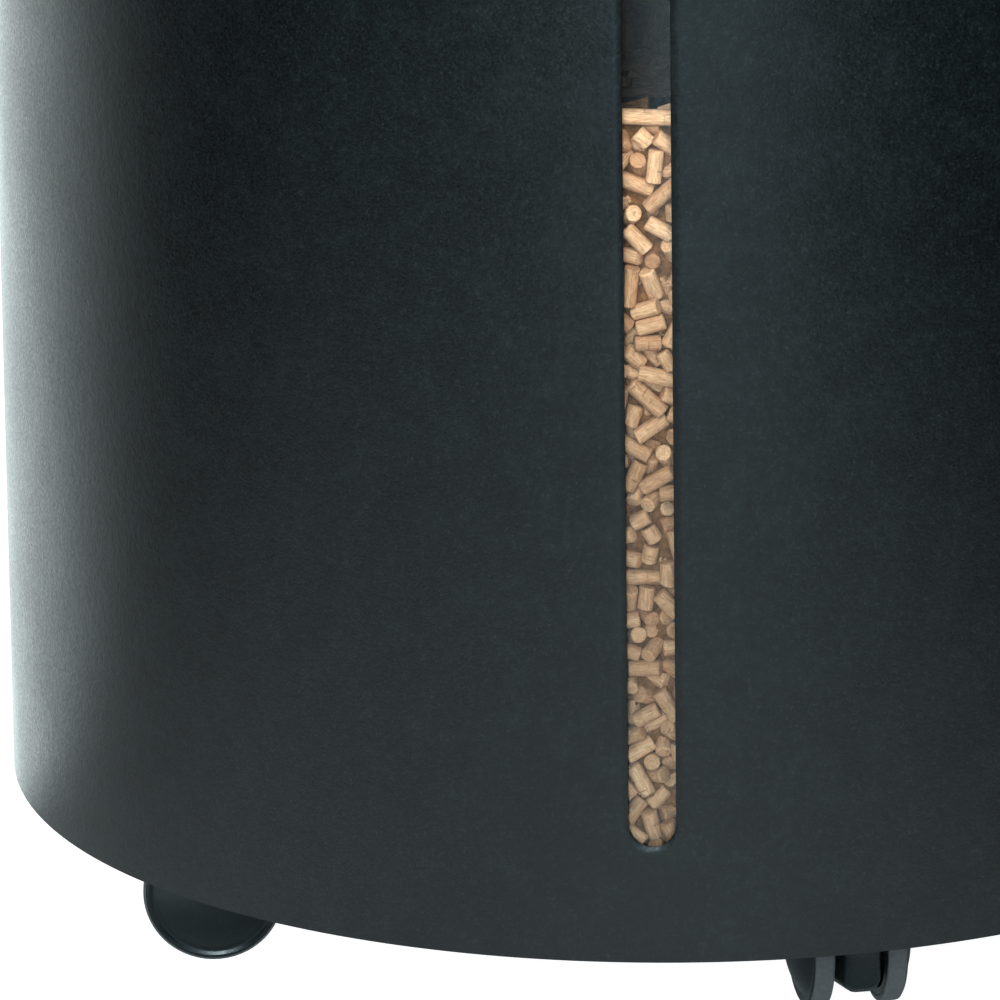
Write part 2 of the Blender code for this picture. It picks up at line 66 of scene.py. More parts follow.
# The pellets: what lies behind the window, and the scooped heap inside.
PELLET_RADIUS = 0.0028
PELLET_LENGTH = 0.0105
WINDOW_LEVEL_DROP = 0.0053
CHANNEL_LIP_EDGE = 0.0119
LIP_INNER_RADIUS = 0.2342
FINES_DEPTH = 0.0056
HEAP_BACK = -0.2215
HEAP_HALF_WIDTH = 0.021
HEAP_BOTTOM = 0.079
HEAP_PIT_RADIUS = 0.105
HEAP_PIT_DEPTH = 0.068
HEAP_WALL_GAP = 0.004

# The castors, in a frame with its origin on the floor under the stem and +X towards the wheels.
TREAD_THICKNESS = 0.0022
WHEEL_FACE = 0.0095
WHEEL_DEPTH = 0.0120
WHEEL_WIDTH = 0.0068
DOME_DROP = 0.0052
LIP_DROP = 0.00446
HUB_RADIUS = 0.0060
AXLE_HOLE_RADIUS = 0.0028
HOUSING_CORNER = 0.0042
HOOD_INNER_RADIUS = 0.0264
HOOD_OUTER_RADIUS = 0.0282
HOOD_WIDTH = 0.0410
WEB_WIDTH = 0.0134
SHANK_RADIUS = 0.005

# The view.
VIEW_TURN = radians(3.07)
VIEW_ELEVATION = radians(16.89)
VIEW_ROLL = radians(-0.721)
VIEW_DISTANCE = 3.84
VIEW_AIM = Vector((-0.0630, -0.0034, 0.1466))
VIEW_LENS = 384.6

# The studio. The bin mirrors glows in the world that no camera ray sees.
WHITE = (1.0, 1.0, 1.0, 1.0)
AMBIENT = 0.40
FRONT_GLOW = 1.75
FRONT_GLOW_TURN = radians(9)
FRONT_TINT = (0.76, 1.0, 1.12, 1.0)
BACK_GLOW = 3.25
BACK_TINT = (0.90, 1.0, 1.0, 1.0)
TOP_GLOW = 0.9
FLOOR_REACH = 40.0
FLOOR_DROP = 0.0002
PATCH_TINT = (0.88, 1.0, 1.03, 1.0)

# Name, radius, centre, stretch along X, grey, glow in the middle and past it, radii where the glow changes.
FLOOR_PATCHES = (
    # floor_mirrored's glow is a painted pool of light on the floor in front of the bin, fading away from it.
    ("floor_mirrored", 0.66, (-0.16, -0.58, -0.0001), 1.25, 0.30, (1.04, 0.30), (0.36, 0.66)),
    # floor_shaded's glow is a painted shadow under the bin: dim in its middle, brighter towards its edge.
    ("floor_shaded", 0.255, (0.0, 0.0, 0.0), 1.0, 0.20, (0.05, 0.50), (0.05, 0.25)),
)

# Name, place, what it faces, size, watts, colour, whether the bin mirrors it.
LIGHTS = (
    ("key", (0.03, -0.60, 0.64), (0, -0.24, 0.33), (0.50, 0.22), 4.5, WHITE[:3], False),
    ("front", (-0.197, -2.81, 1.03), (0, 0, 0.1), (0.28, 0.28), 27.0, (0.84, 1.0, 1.06), True),
    ("overhead", (0.1, -0.5, 2.2), (0, 0, 0.2), (0.6, 0.6), 14.0, WHITE[:3], True),
)


# Meshes.


def rounded(points, radius, segments=3, closed=True, hold=0.35):
    """The outline with its corners rounded, and a point just outside each bend to keep the flats flat."""
    count = len(points)
    radii = radius if isinstance(radius, (list, tuple)) else [radius] * count
    points = [Vector(p) for p in points]
    out = []
    for i, p in enumerate(points):
        if (not closed and i in (0, count - 1)) or radii[i] <= 0:
            out.append(p)
            continue
        before, after = points[i - 1] - p, points[(i + 1) % count] - p
        half = before.angle(after) / 2
        if half > radians(89):
            out.append(p)
            continue
        cut = min(radii[i] / math.tan(half), 0.45 * before.length, 0.45 * after.length)
        before.normalize()
        after.normalize()
        centre = p + (before + after).normalized() * (cut / cos(half))
        to_first, to_last = p + before * cut - centre, p + after * cut - centre
        start = math.atan2(to_first.y, to_first.x)
        sweep = (math.atan2(to_last.y, to_last.x) - start + pi) % (2 * pi) - pi
        reach = to_first.length
        out.append(p + before * cut * (1 + hold))
        for k in range(segments + 1):
            angle = start + sweep * k / segments
            out.append(centre + Vector((cos(angle), sin(angle))) * reach)
        out.append(p + after * cut * (1 + hold))
    return [tuple(p) for p in out]


def rounded_outline(corners, segments, closed=True, hold=0.35):
    """The same, from (point, radius) pairs."""
    points, radii = zip(*corners)
    return rounded(points, radii, segments, closed, hold)


def arc(centre, radius, start, end, segments):
    """Points on an arc from one angle to another."""
    angles = (start + (end - start) * i / segments for i in range(segments + 1))
    return [(centre[0] + radius * cos(a), centre[1] + radius * sin(a)) for a in angles]


def linked(name, data):
    """A new object in the scene."""
    obj = bpy.data.objects.new(name, data)
    bpy.context.scene.collection.objects.link(obj)
    return obj


def mesh_object(name, vertices, faces, finish):
    """A smooth-shaded object of one material, linked to the scene."""
    mesh = bpy.data.meshes.new(name)
    mesh.from_pydata([tuple(v) for v in vertices], [], faces)
    mesh.validate()
    mesh.materials.append(finish)
    mesh.shade_smooth()
    return linked(name, mesh)


def lathe_faces(profile, steps, closed=False):
    """(vertices, faces) of (radius, height) points turned about Z. The points run down the outer side."""
    vertices, rings, faces = [], [], []
    for radius, height in profile:
        if radius < 1e-6:
            rings.append([len(vertices)] * steps)
            vertices.append((0.0, 0.0, height))
            continue
        rings.append(range(len(vertices), len(vertices) + steps))
        vertices.extend(
            (radius * cos(2 * pi * k / steps), radius * sin(2 * pi * k / steps), height) for k in range(steps)
        )
    pairs = list(zip(rings, rings[1:]))
    if closed:
        pairs.append((rings[-1], rings[0]))
    for upper, lower in pairs:
        for k in range(steps):
            n = (k + 1) % steps
            face = dict.fromkeys((upper[k], lower[k], lower[n], upper[n]))
            if len(face) > 2:
                faces.append(tuple(face))
    return vertices, faces


def lathe(name, profile, finish, steps=SMALL_STEPS, closed=False):
    """An object turned about Z from an outline of (radius, height) points."""
    vertices, faces = lathe_faces(profile, steps, closed)
    return mesh_object(name, vertices, faces, finish)


def bevel(obj, width, segments, angle):
    """Rounds the edges that bend by more than this angle."""
    edges = obj.modifiers.new("edges", "BEVEL")
    edges.width = width
    edges.segments = segments
    edges.limit_method = "ANGLE"
    edges.angle_limit = radians(angle)


def keep_flats(obj):
    """Shades the flat faces as flat between their rounded edges."""
    obj.modifiers.new("normals", "WEIGHTED_NORMAL").keep_sharp = True


def soften(obj, width, segments=2, angle=35):
    """Small rounded edges, with the flats kept flat."""
    bevel(obj, width, segments, angle)
    keep_flats(obj)


def thicken(obj, thickness):
    """Gives a single skin a thickness, behind the side that faces out."""
    wall = obj.modifiers.new("sheet", "SOLIDIFY")
    wall.thickness = thickness
    wall.offset = -1.0
    return wall


def grid_faces(columns, rows):
    """Faces of a grid of points that is stored row by row."""
    starts = (k * (columns + 1) + i for k in range(rows) for i in range(columns))
    return [(a, a + 1, a + columns + 2, a + columns + 1) for a in starts]


def slab(name, outline, thickness, finish):
    """An outline in XY, thickened evenly on both sides of Z = 0."""
    count = len(outline)
    vertices = [(x, y, side * thickness / 2) for side in (-1, 1) for x, y in outline]
    faces = [tuple(reversed(range(count))), tuple(range(count, 2 * count))]
    faces += [(i, (i + 1) % count, count + (i + 1) % count, count + i) for i in range(count)]
    return mesh_object(name, vertices, faces, finish)


def joined(name, parts):
    """One object from several of the same material, each with its modifiers applied."""
    depsgraph = bpy.context.evaluated_depsgraph_get()
    vertices, faces = [], []
    for part in parts:
        bpy.context.view_layer.update()
        shape = part.evaluated_get(depsgraph).to_mesh()
        base = len(vertices)
        vertices += [part.matrix_world @ v.co for v in shape.vertices]
        faces += [tuple(base + i for i in p.vertices) for p in shape.polygons]
        part.evaluated_get(depsgraph).to_mesh_clear()
    finish = parts[0].data.materials[0]
    for part in parts:
        bpy.data.objects.remove(part, do_unlink=True)
    obj = mesh_object(name, vertices, faces, finish)
    keep_flats(obj)
    return obj


def remove_loose(mesh):
    """Removes the vertices that no face uses."""
    work = bmesh.new()
    work.from_mesh(mesh)
    loose = [v for v in work.verts if not v.link_faces]
    bmesh.ops.delete(work, geom=loose, context="VERTS")
    work.to_mesh(mesh)
    work.free()


# Materials. A noise scale is in cycles to the metre, so 1000 is a grain of about a millimetre.


class Nodes:
    """Short ways to build a node tree."""

    mix_sockets = {"RGBA": (0, 6, 7, 2), "FLOAT": (0, 2, 3, 0)}

    def __init__(self, tree):
        self.tree = tree

    def node(self, kind, settings=None, **inputs):
        node = self.tree.nodes.new("ShaderNode" + kind)
        for key, value in (settings or {}).items():
            setattr(node, key, value)
        for key, value in inputs.items():
            self.feed(value, node.inputs[key.replace("_", " ")])
        return node

    def feed(self, value, socket):
        if isinstance(value, bpy.types.NodeSocket):
            self.tree.links.new(value, socket)
        else:
            socket.default_value = value

    def operation(self, kind, operation, inputs, output):
        node = self.node(kind, {"operation": operation})
        for value, socket in zip(inputs, node.inputs):
            self.feed(value, socket)
        return node.outputs[output]

    def maths(self, operation, *inputs):
        return self.operation("Math", operation, inputs, "Value")

    def vector_maths(self, operation, *inputs, output="Vector"):
        return self.operation("VectorMath", operation, inputs, output)

    def ramp(self, value, low, high, to_low=0.0, to_high=1.0, interpolation="LINEAR"):
        limits = {"From_Min": low, "From_Max": high, "To_Min": to_low, "To_Max": to_high}
        node = self.node("MapRange", {"interpolation_type": interpolation}, Value=value, **limits)
        return node.outputs["Result"]

    def mix(self, factor, first, second, kind="RGBA"):
        node = self.node("Mix", {"data_type": kind})
        *sockets, output = self.mix_sockets[kind]
        for value, socket in zip((factor, first, second), sockets):
            self.feed(value, node.inputs[socket])
        return node.outputs[output]

    def mix_shaders(self, factor, first, second):
        node = self.node("MixShader")
        for value, socket in zip((factor, first, second), node.inputs):
            self.feed(value, socket)
        return node.outputs["Shader"]


class Finish(Nodes):
    """A Principled material."""

    def __init__(self, name, **sockets):
        self.material = bpy.data.materials.new(name)
        self.material.use_nodes = True
        super().__init__(self.material.node_tree)
        self.shader = self.tree.nodes["Principled BSDF"]
        for key, value in sockets.items():
            self.set(key, value)

    def set(self, socket, value):
        self.feed(value, self.shader.inputs[socket])

    def paint(self, colour, roughness):
        self.set("Base Color", colour)
        self.set("Roughness", roughness)

    def place(self, scale=(1, 1, 1)):
        """The piece's own coordinates in metres, stretched."""
        where = self.node("TexCoord")
        return self.node("Mapping", Vector=where.outputs["Object"], Scale=scale).outputs["Vector"]

    def noise(self, scale, detail=3.0, vector=None, roughness=0.55):
        vector = vector or self.place()
        node = self.node("TexNoise", Vector=vector, Scale=scale, Detail=detail, Roughness=roughness)
        return node.outputs["Fac"]

    def bump(self, height, distance, strength, normal=None):
        node = self.node("Bump", Height=height, Distance=distance, Strength=strength)
        if normal:
            self.feed(normal, node.inputs["Normal"])
        self.set("Normal", node.outputs["Normal"])

    def show(self, surface):
        self.feed(surface, self.tree.nodes["Material Output"].inputs["Surface"])


def shade(colour, factor=1.0):
    return (*(c * factor for c in colour), 1.0)


def powder_coat():
    """Fine-textured anthracite powder coat: pimpled, mottled, a little rubbed and dusty."""
    colour = (0.0012, 0.0036, 0.0043)
    finish = Finish("powder_coat_finish")
    peel = finish.noise(330, 3.0)
    grain = finish.noise(1000, 2.0)
    blotch = finish.noise(70, 5.0)
    speck = finish.noise(950, 2.0)
    mottled = finish.mix(finish.ramp(grain, 0.35, 0.65), shade(colour, 0.35), shade(colour, 1.65))
    clouded = finish.mix(finish.ramp(blotch, 0.40, 0.62, 0.0, 0.65), mottled, shade((0.0040, 0.0084, 0.0094)))
    dusty = finish.mix(finish.ramp(speck, 0.54, 0.74, 0.0, 0.38), clouded, shade((0.026, 0.033, 0.035)))
    pimpled = finish.mix(finish.ramp(peel, 0.38, 0.62, 0.0, 0.60), dusty, shade(colour, 0.45))
    rubbed = finish.ramp(finish.noise(14, 5.0, roughness=0.6), 0.3, 0.7, 0.38, 0.44)
    finish.paint(pimpled, finish.maths("ADD", finish.ramp(grain, 0.3, 0.7, -0.07, 0.07), rubbed))
    peeled = finish.node("Bump", Height=peel, Distance=0.00016, Strength=0.5).outputs["Normal"]
    finish.bump(grain, 0.00014, 0.5, peeled)
    return finish.material


def nylon():
    """Black moulded nylon, lightly scuffed."""
    colour = (0.0118, 0.0200, 0.0225)
    finish = Finish("black_nylon_finish")
    blotch = finish.noise(60, 4.0)
    fine = finish.noise(1800, 2.0)
    scuffs = finish.noise(120, 5.0, finish.place((1.0, 1.0, 7.0)), 0.75)
    toned = finish.mix(finish.ramp(blotch, 0.3, 0.7), shade(colour, 0.82), shade(colour, 1.22))
    scuffed = finish.mix(finish.ramp(scuffs, 0.62, 0.78, 0.0, 0.35), toned, shade(colour, 2.6))
    worn = finish.ramp(scuffs, 0.5, 0.8, 0.0, 0.16)
    finish.paint(scuffed, finish.maths("ADD", finish.ramp(blotch, 0.3, 0.7, 0.22, 0.30), worn))
    finish.bump(fine, 0.00004, 0.5)
    return finish.material


def tread_rubber():
    """Grey thermoplastic tyre, dusty from the floor."""
    colour = (0.088, 0.102, 0.110)
    finish = Finish("grey_tread_finish")
    fine = finish.noise(900, 3.0)
    dust = finish.noise(150, 5.0, roughness=0.7)
    toned = finish.mix(finish.ramp(fine, 0.3, 0.7), shade(colour, 0.86), shade(colour, 1.14))
    dusty = finish.mix(finish.ramp(dust, 0.50, 0.75, 0.0, 0.40), toned, shade((0.15, 0.15, 0.15)))
    finish.paint(dusty, finish.ramp(dust, 0.3, 0.7, 0.50, 0.75))
    finish.bump(fine, 0.00006, 0.5)
    return finish.material


def zinc():
    """Zinc-plated steel with a faint spangle."""
    finish = Finish("zinc_steel_finish", Metallic=1.0)
    spangle = finish.node("TexVoronoi", Vector=finish.place(), Scale=420.0).outputs["Color"]
    grey = finish.node("RGBToBW", Color=spangle).outputs["Val"]
    blotch = finish.noise(90, 4.0)
    toned = finish.mix(finish.ramp(grey, 0.2, 0.8), shade((0.50, 0.52, 0.54)), shade((0.64, 0.65, 0.67)))
    dulled = finish.mix(finish.ramp(blotch, 0.55, 0.8, 0.0, 0.5), toned, shade((0.42, 0.42, 0.42)))
    finish.paint(dulled, finish.ramp(blotch, 0.3, 0.7, 0.27, 0.46))
    finish.bump(finish.noise(700, 3.0), 0.00003, 0.5)
    return finish.material


def satin_steel():
    """Turned steel with fine rings and a few finger marks."""
    finish = Finish("satin_steel_finish", Metallic=1.0)
    rings = finish.noise(260, 2.0, finish.place((1.0, 1.0, 30.0)))
    marks = finish.noise(110, 4.0)
    toned = finish.mix(finish.ramp(marks, 0.3, 0.7), shade((0.50, 0.50, 0.51)), shade((0.62, 0.62, 0.63)))
    touched = finish.ramp(marks, 0.5, 0.8, 0.0, 0.15)
    finish.paint(toned, finish.maths("ADD", finish.ramp(rings, 0.3, 0.7, 0.20, 0.30), touched))
    finish.bump(rings, 0.00002, 0.6)
    return finish.material


def foam():
    """Black sealing foam with open cells."""
    finish = Finish("foam_rubber_finish")
    cells = finish.node("TexVoronoi", Vector=finish.place(), Scale=1300.0).outputs["Distance"]
    blotch = finish.noise(90, 3.0)
    dark, light = shade((0.010, 0.010, 0.010)), shade((0.022, 0.022, 0.022))
    toned = finish.mix(finish.ramp(blotch, 0.3, 0.7), dark, light)
    finish.paint(toned, finish.ramp(blotch, 0.3, 0.7, 0.85, 0.98))
    finish.bump(cells, 0.0003, 0.7)
    return finish.material


def clear_sheet():
    """Clear plastic that bends nothing behind it, with fine wipe marks and a film of dust."""
    finish = Finish("clear_strip_finish")
    finish.tree.nodes.remove(finish.shader)
    wipes = finish.noise(220, 4.0, finish.place((1.0, 1.0, 0.12)), 0.7)
    gloss = finish.node("BsdfGlossy", Color=WHITE, Roughness=finish.ramp(wipes, 0.4, 0.75, 0.04, 0.22))
    clear = finish.node("BsdfTransparent", Color=shade((0.955, 0.965, 0.960)))
    dust = finish.node("BsdfDiffuse", Color=shade((0.36, 0.44, 0.47)))
    mirroring = finish.node("Fresnel", IOR=1.36).outputs["Fac"]
    sheet = finish.mix_shaders(mirroring, clear.outputs["BSDF"], gloss.outputs["BSDF"])
    film = finish.ramp(wipes, 0.35, 0.75, 0.003, 0.009)
    finish.show(finish.mix_shaders(film, sheet, dust.outputs["BSDF"]))
    return finish.material


def wood(name, painted_shade_factor):
    """Pressed softwood: a tone for each pellet, fine fibres along it and dark cracks across it."""
    finish = Finish(name)
    grain_at = finish.node("Attribute", {"attribute_name": "grain_place"}).outputs["Vector"]
    tone = finish.node("Attribute", {"attribute_name": "pellet_tone"}).outputs["Fac"]
    along = finish.node("Mapping", Vector=grain_at, Scale=(1900, 1900, 300)).outputs["Vector"]
    across = finish.node("Mapping", Vector=grain_at, Scale=(160, 160, 1500)).outputs["Vector"]
    fibres = finish.noise(1.0, 4.0, along, 0.7)
    rings = finish.noise(1.0, 3.0, across, 0.6)
    # The factor scales every colour of the wood: below 1 it is painted shade.
    pale = finish.mix(tone, shade((0.55, 0.325, 0.185), painted_shade_factor), shade((0.86, 0.60, 0.395), painted_shade_factor))
    dark = finish.mix(tone, shade((0.33, 0.165, 0.078), painted_shade_factor), shade((0.56, 0.335, 0.185), painted_shade_factor))
    streaked = finish.mix(finish.ramp(fibres, 0.36, 0.62), dark, pale)
    cracked = finish.mix(finish.ramp(rings, 0.62, 0.72, 0.0, 0.65), streaked, shade((0.16, 0.085, 0.035)))
    finish.paint(cracked, finish.ramp(fibres, 0.3, 0.7, 0.55, 0.85))
    finish.bump(finish.maths("SUBTRACT", fibres, finish.ramp(rings, 0.60, 0.72, 0.0, 1.2)), 0.00016, 0.7)
    return finish.material


def pellet_bed():
    """What lies between the pellets: broken ends and wood dust, whose brown is made darker than the pellets
    as painted shade in the gaps.
    """
    finish = Finish("pellet_bed_painted_shade_finish")
    crumbs = finish.noise(420, 5.0, roughness=0.75)
    # The brown is the dust's own colour, darkened as painted shade between the pellets.
    dark, light = shade((0.15, 0.062, 0.020)), shade((0.36, 0.185, 0.075))
    toned = finish.mix(finish.ramp(crumbs, 0.35, 0.65), dark, light)
    finish.paint(toned, finish.ramp(crumbs, 0.3, 0.7, 0.82, 0.96))
    finish.bump(crumbs, 0.0012, 0.8)
    return finish.material


def floor_paint(name, grey, tint, glow, reach=None):
    """Pale floor that glows a little, so that shadows stay soft, and that is clear from below.

    Glow is one strength, or with reach the strengths inside and outside these two distances from the middle.
    """
    finish = Finish(name)
    finish.paint(shade((grey, grey, grey)), 0.9)
    finish.set("Emission Color", tint)
    # A glow that changes with distance from the middle paints light and shadow on a patch.
    if reach:
        out = finish.vector_maths("LENGTH", finish.place(), output="Value")
        glow = finish.ramp(out, *reach, *glow)
    finish.set("Emission Strength", glow)
    finish.set("Specular IOR Level", 0.0)
    from_below = finish.node("NewGeometry").outputs["Backfacing"]
    clear = finish.node("BsdfTransparent").outputs["BSDF"]
    finish.show(finish.mix_shaders(from_below, finish.shader.outputs["BSDF"], clear))
    return finish.material


# Pieces.


def settle(piece, body, slot, *nodes):
    """Puts a finished piece on the body it rides on and hides the CAD nodes it stands for. The slot is not
    used.
    """
    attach(piece, body)
    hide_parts(*nodes)


def repaint(node, width):
    """A zinc-plated CAD node that is shown as it is, with its edges taken off."""
    obj = frame["nodes"][node]
    obj.data.materials.clear()
    obj.data.materials.append(ZINC)
    soften(obj, width)


def drum_angles(radius):
    """Angles of the drum's columns from the window's middle: those of the slot first, then round the drum."""
    half = SLOT_WIDTH / 2
    edge = math.asin(half / radius)
    in_slot = [math.asin(-half * cos(pi * i / SLOT_END_STEPS) / radius) for i in range(SLOT_END_STEPS + 1)]
    beside = [edge + step / radius for step in SLOT_ROLL_STEPS[1:]]
    clear = beside[-1] + DRUM_COLUMN_GAP
    evenly = np.linspace(edge, 2 * pi - edge, DRUM_COLUMNS)[1:-1]
    around = [angle for angle in evenly if clear < angle < 2 * pi - clear]
    return in_slot + beside + around + [2 * pi - angle for angle in reversed(beside)]


def drum_heights(bottom, lower, upper, top):
    """Heights of one drum column, close together next to the slot's lower and upper edge."""
    roll, past = SLOT_ROLL_STEPS[-1], DRUM_ROWS_PAST_SLOT
    return [
        *(bottom + (lower - roll - bottom) * k / past for k in range(past)),
        *(lower - step for step in reversed(SLOT_ROLL_STEPS)),
        *(lower + (upper - lower) * k / DRUM_ROWS_BESIDE_SLOT for k in range(1, DRUM_ROWS_BESIDE_SLOT)),
        *(upper + step for step in SLOT_ROLL_STEPS),
        *(upper + roll + (top - upper - roll) * k / past for k in range(1, past + 1)),
    ]


def drum_wall(radius, bottom, top):
    """The drum's outer skin, drawn inwards round the slot and left out where the slot is."""
    half = SLOT_WIDTH / 2
    slot_low, slot_high = bottom + SLOT_END_DISTANCE, top - SLOT_END_DISTANCE
    angles = drum_angles(radius)
    vertices, columns, draws = [], [], []
    for i, angle in enumerate(angles):
        x = max(-half, min(half, radius * sin(angle))) if i <= SLOT_END_STEPS else half
        lift = half - math.sqrt(max(0.0, half * half - x * x))
        heights = drum_heights(bottom, slot_low + lift, slot_high - lift, top)
        columns.append(range(len(vertices), len(vertices) + len(heights)))
        sideways = radius * ((angle + pi) % (2 * pi) - pi)
        for z in heights:
            past_end = max(0.0, slot_low + half - z, z - slot_high + half)
            distance = max(0.0, math.hypot(sideways, past_end) - half)
            draw = SLOT_ROLL_DEPTH * max(0.0, 1 - distance / SLOT_ROLL_STEPS[-1]) ** 2
            draws.append(draw)
            vertices.append(((radius - draw) * sin(angle), -(radius - draw) * cos(angle), z))
    first_open = DRUM_ROWS_PAST_SLOT + len(SLOT_ROLL_STEPS) - 1
    open_rows = range(first_open, first_open + DRUM_ROWS_BESIDE_SLOT)
    faces = []
    for i, column in enumerate(columns):
        beside = columns[(i + 1) % len(columns)]
        for k in range(len(column) - 1):
            if i >= SLOT_END_STEPS or k not in open_rows:
                faces.append((column[k], beside[k], beside[k + 1], column[k + 1]))
    wall = mesh_object("drum_shell", vertices, faces, COAT)
    thinning = wall.vertex_groups.new(name="sheet")
    for i, draw in enumerate(draws):
        thinning.add([i], (SHEET - draw) / SHEET, "REPLACE")
    remove_loose(wall.data)
    sheet = thicken(wall, SHEET)
    sheet.use_even_offset = True
    sheet.vertex_group = thinning.name
    soften(wall, 0.00035, 3, 50)
    return wall


def weld_seam(radius, bottom, top):
    """The long seam at the back, ground nearly flush and painted over."""
    rng = np.random.default_rng(5)
    rows, ripple = 220, 2.6
    across = (-1.0, -0.7, -0.35, 0.0, 0.35, 0.7, 1.0)
    vertices = []
    for k in range(rows + 1):
        z = bottom + (top - bottom) * k / rows
        rise = SEAM_RISE * (0.75 + 0.25 * sin(2 * pi * k / ripple)) * (0.9 + 0.2 * rng.random())
        drift = 0.00012 * rng.standard_normal()
        for share in across:
            reach = radius - 0.0001 + rise * (1 - share * share)
            x = share * SEAM_HALF_WIDTH * (1 + 0.06 * rng.standard_normal()) + drift
            vertices.append((x, math.sqrt(reach * reach - x * x), z))
    faces = [(a, d, c, b) for a, b, c, d in grid_faces(len(across) - 1, rows)]
    return mesh_object("drum_weld_seam", vertices, faces, COAT)


def drum_pieces():
    """The drum's wall, the hem folded inside its top edge, and its seam."""
    low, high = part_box("body_shell")
    radius, bottom, top = high.x, low.z, high.z
    outer, inner = radius - SHEET - 0.00005, radius - SHEET - HEM_THICKNESS
    hem_top, hem_bottom = top - HEM_DROP, top - HEM_DEPTH
    hem = [(outer, hem_top), (outer, hem_bottom), (inner, hem_bottom), (inner, hem_top)]
    pieces = [
        drum_wall(radius, bottom, top),
        lathe("drum_hem", rounded(hem, 0.0007), COAT, LATHE_STEPS, closed=True),
        weld_seam(radius, bottom + 0.004, top - 0.024),
    ]
    for piece in pieces:
        settle(piece, "bin", "powder_coat", "body_shell")


def groove(start, slope, width, height, depth):
    """Outline points of a pressed ring groove: down a slope, across its floor and up again."""
    end = start + 2 * slope + width
    return [(start, height), (start + slope, height - depth), (end - slope, height - depth), (end, height)]


def pan_piece():
    """The pressed base pan, with its middle set down, a ring groove and a flange up the drum's wall."""
    low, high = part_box("base_pan")
    radius, bottom = high.x, low.z
    bore, step = radius - SHEET, 0.002
    under, top = bottom + step, bottom + step + PAN_THICKNESS
    ring = (0.196, 0.003, 0.007)
    outline = [
        ((0, bottom + PAN_THICKNESS), 0),
        ((PAN_MIDDLE_RADIUS, bottom + PAN_THICKNESS), 0.002),
        ((PAN_MIDDLE_RADIUS + step, top), 0.002),
        *((point, 0.002) for point in groove(*ring, top, 0.0012)),
        ((bore, top), 0.0015),
        ((bore, high.z), 0.0006),
        ((radius, high.z), 0.0006),
        ((radius, under), 0.003),
        *((point, 0.002) for point in reversed(groove(*ring, under, 0.0012))),
        ((PAN_MIDDLE_RADIUS + step, under), 0.002),
        ((PAN_MIDDLE_RADIUS, bottom), 0.002),
        ((0, bottom), 0),
    ]
    pan = lathe("base_pan_pressing", rounded_outline(outline, 3, closed=False), COAT, LATHE_STEPS)
    settle(pan, "bin", "powder_coat", "base_pan")


def window_pieces():
    """The clear strip, curved with the drum and round-cornered, and the metal that holds it."""
    low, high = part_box("window_strip")
    half, bottom, top, outer = high.x, low.z, high.z, -low.y
    columns, rows, corner = 24, 60, 0.003
    vertices = []
    for k in range(rows + 1):
        z = bottom + (top - bottom) * k / rows
        in_corner = max(0.0, corner - min(z - bottom, top - z))
        reach = half - corner + math.sqrt(max(0.0, corner**2 - in_corner**2))
        for i in range(columns + 1):
            x = reach * (2 * i / columns - 1)
            vertices.append((x, -math.sqrt(outer**2 - x * x), z))
    strip = mesh_object("window_sheet", vertices, grid_faces(columns, rows), CLEAR)
    thicken(strip, STRIP_THICKNESS)
    soften(strip, 0.0002, 2, 50)
    settle(strip, "bin", "clear_strip", "window_strip")
    for node in ("window_channel_left", "window_channel_right", "window_stop"):
        repaint(node, 0.0002)


def lid_pieces():
    """The lid's rim and panel, the seal inside it, and its knob with washer and screw."""
    low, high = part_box("lid_rim")
    outer, bottom, top = high.x, low.z, high.z
    crest, under = outer - 0.003, top - SHEET
    rim = [
        ((crest, top), 0.0003),
        ((outer, top), 0.003),
        ((outer, bottom), 0.0005),
        ((outer - SHEET, bottom), 0.0005),
        ((outer - SHEET, under), 0.0015),
        ((crest, under), 0.0003),
    ]
    rim = lathe("lid_rim_band", rounded_outline(rim, 6), COAT, LATHE_STEPS, closed=True)
    settle(rim, "lid", "powder_coat", "lid_rim")

    edge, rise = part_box("lid_panel")[1].x, 0.001
    ring = (0.206, 0.0015, 0.007)
    panel = [
        ((LID_HOLE_RADIUS, top + rise), 0.0002),
        ((LID_PAD_RADIUS, top + rise), 0.001),
        ((LID_PAD_RADIUS + rise, top), 0.001),
        *((point, 0.001) for point in groove(*ring, top, 0.0006)),
        ((edge, top), 0.0004),
        ((edge, under), 0.0002),
        *((point, 0.001) for point in reversed(groove(*ring, under, 0.0006))),
        ((LID_PAD_RADIUS + rise, under), 0.001),
        ((LID_PAD_RADIUS, under + rise), 0.001),
        ((LID_HOLE_RADIUS, under + rise), 0.0002),
    ]
    panel = lathe("lid_panel_pressing", rounded_outline(panel, 3), COAT, LATHE_STEPS, closed=True)
    settle(panel, "lid", "powder_coat", "lid_panel")

    low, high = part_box("lid_seal")
    seal = rounded(ring_section(low, high, high.x - 0.010), 0.0011, 4)
    seal = lathe("lid_seal_strip", seal, FOAM, LATHE_STEPS, closed=True)
    settle(seal, "lid", "foam_rubber", "lid_seal")
    knob_pieces()


def ring_section(low, high, inner):
    """Outline of a plain ring that fills a node's box."""
    return [(high.x, high.z), (high.x, low.z), (inner, low.z), (inner, high.z)]


